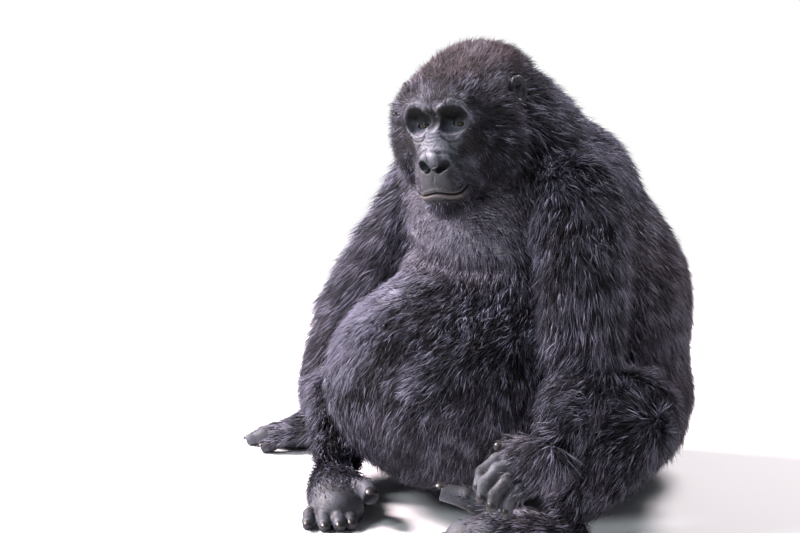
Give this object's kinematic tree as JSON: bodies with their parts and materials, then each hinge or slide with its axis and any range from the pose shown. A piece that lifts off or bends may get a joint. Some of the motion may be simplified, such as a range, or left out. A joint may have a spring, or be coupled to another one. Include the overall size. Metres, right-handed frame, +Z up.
{
  "type": "seated gorilla",
  "caption": "Life-size still model of a seated adult gorilla with a black coat, one hand laid on its foot and the other propped on the ground.",
  "frame": {"origin": "on the ground under the middle of the animal's bounding box", "axes": "+Z up; the body faces -Y, and its own left is +X; the arms spread along X"},
  "size_m": [1.0156, 0.8184, 0.8176],
  "materials": {
    "coat": "shaggy black fur",
    "skin": "dark grey bare skin, softly glossy",
    "eye": "wet brown eye"
  },
  "bodies": {
    "root": {"rump": "coat", "belly": "coat", "chest": "coat", "neck": "coat", "head": "coat", "lower_jaw": "skin", "eye_left": "eye", "eye_right": "eye", "ear_left": "skin", "ear_right": "skin", "upper_arm_left": "coat", "upper_arm_right": "coat", "forearm_left": "coat", "forearm_right": "coat", "hand_left": "skin", "hand_right": "skin", "thigh_left": "coat", "thigh_right": "coat", "shin_left": "coat", "shin_right": "coat", "foot_left": "skin", "foot_right": "skin"}
  },
  "joints": []
}
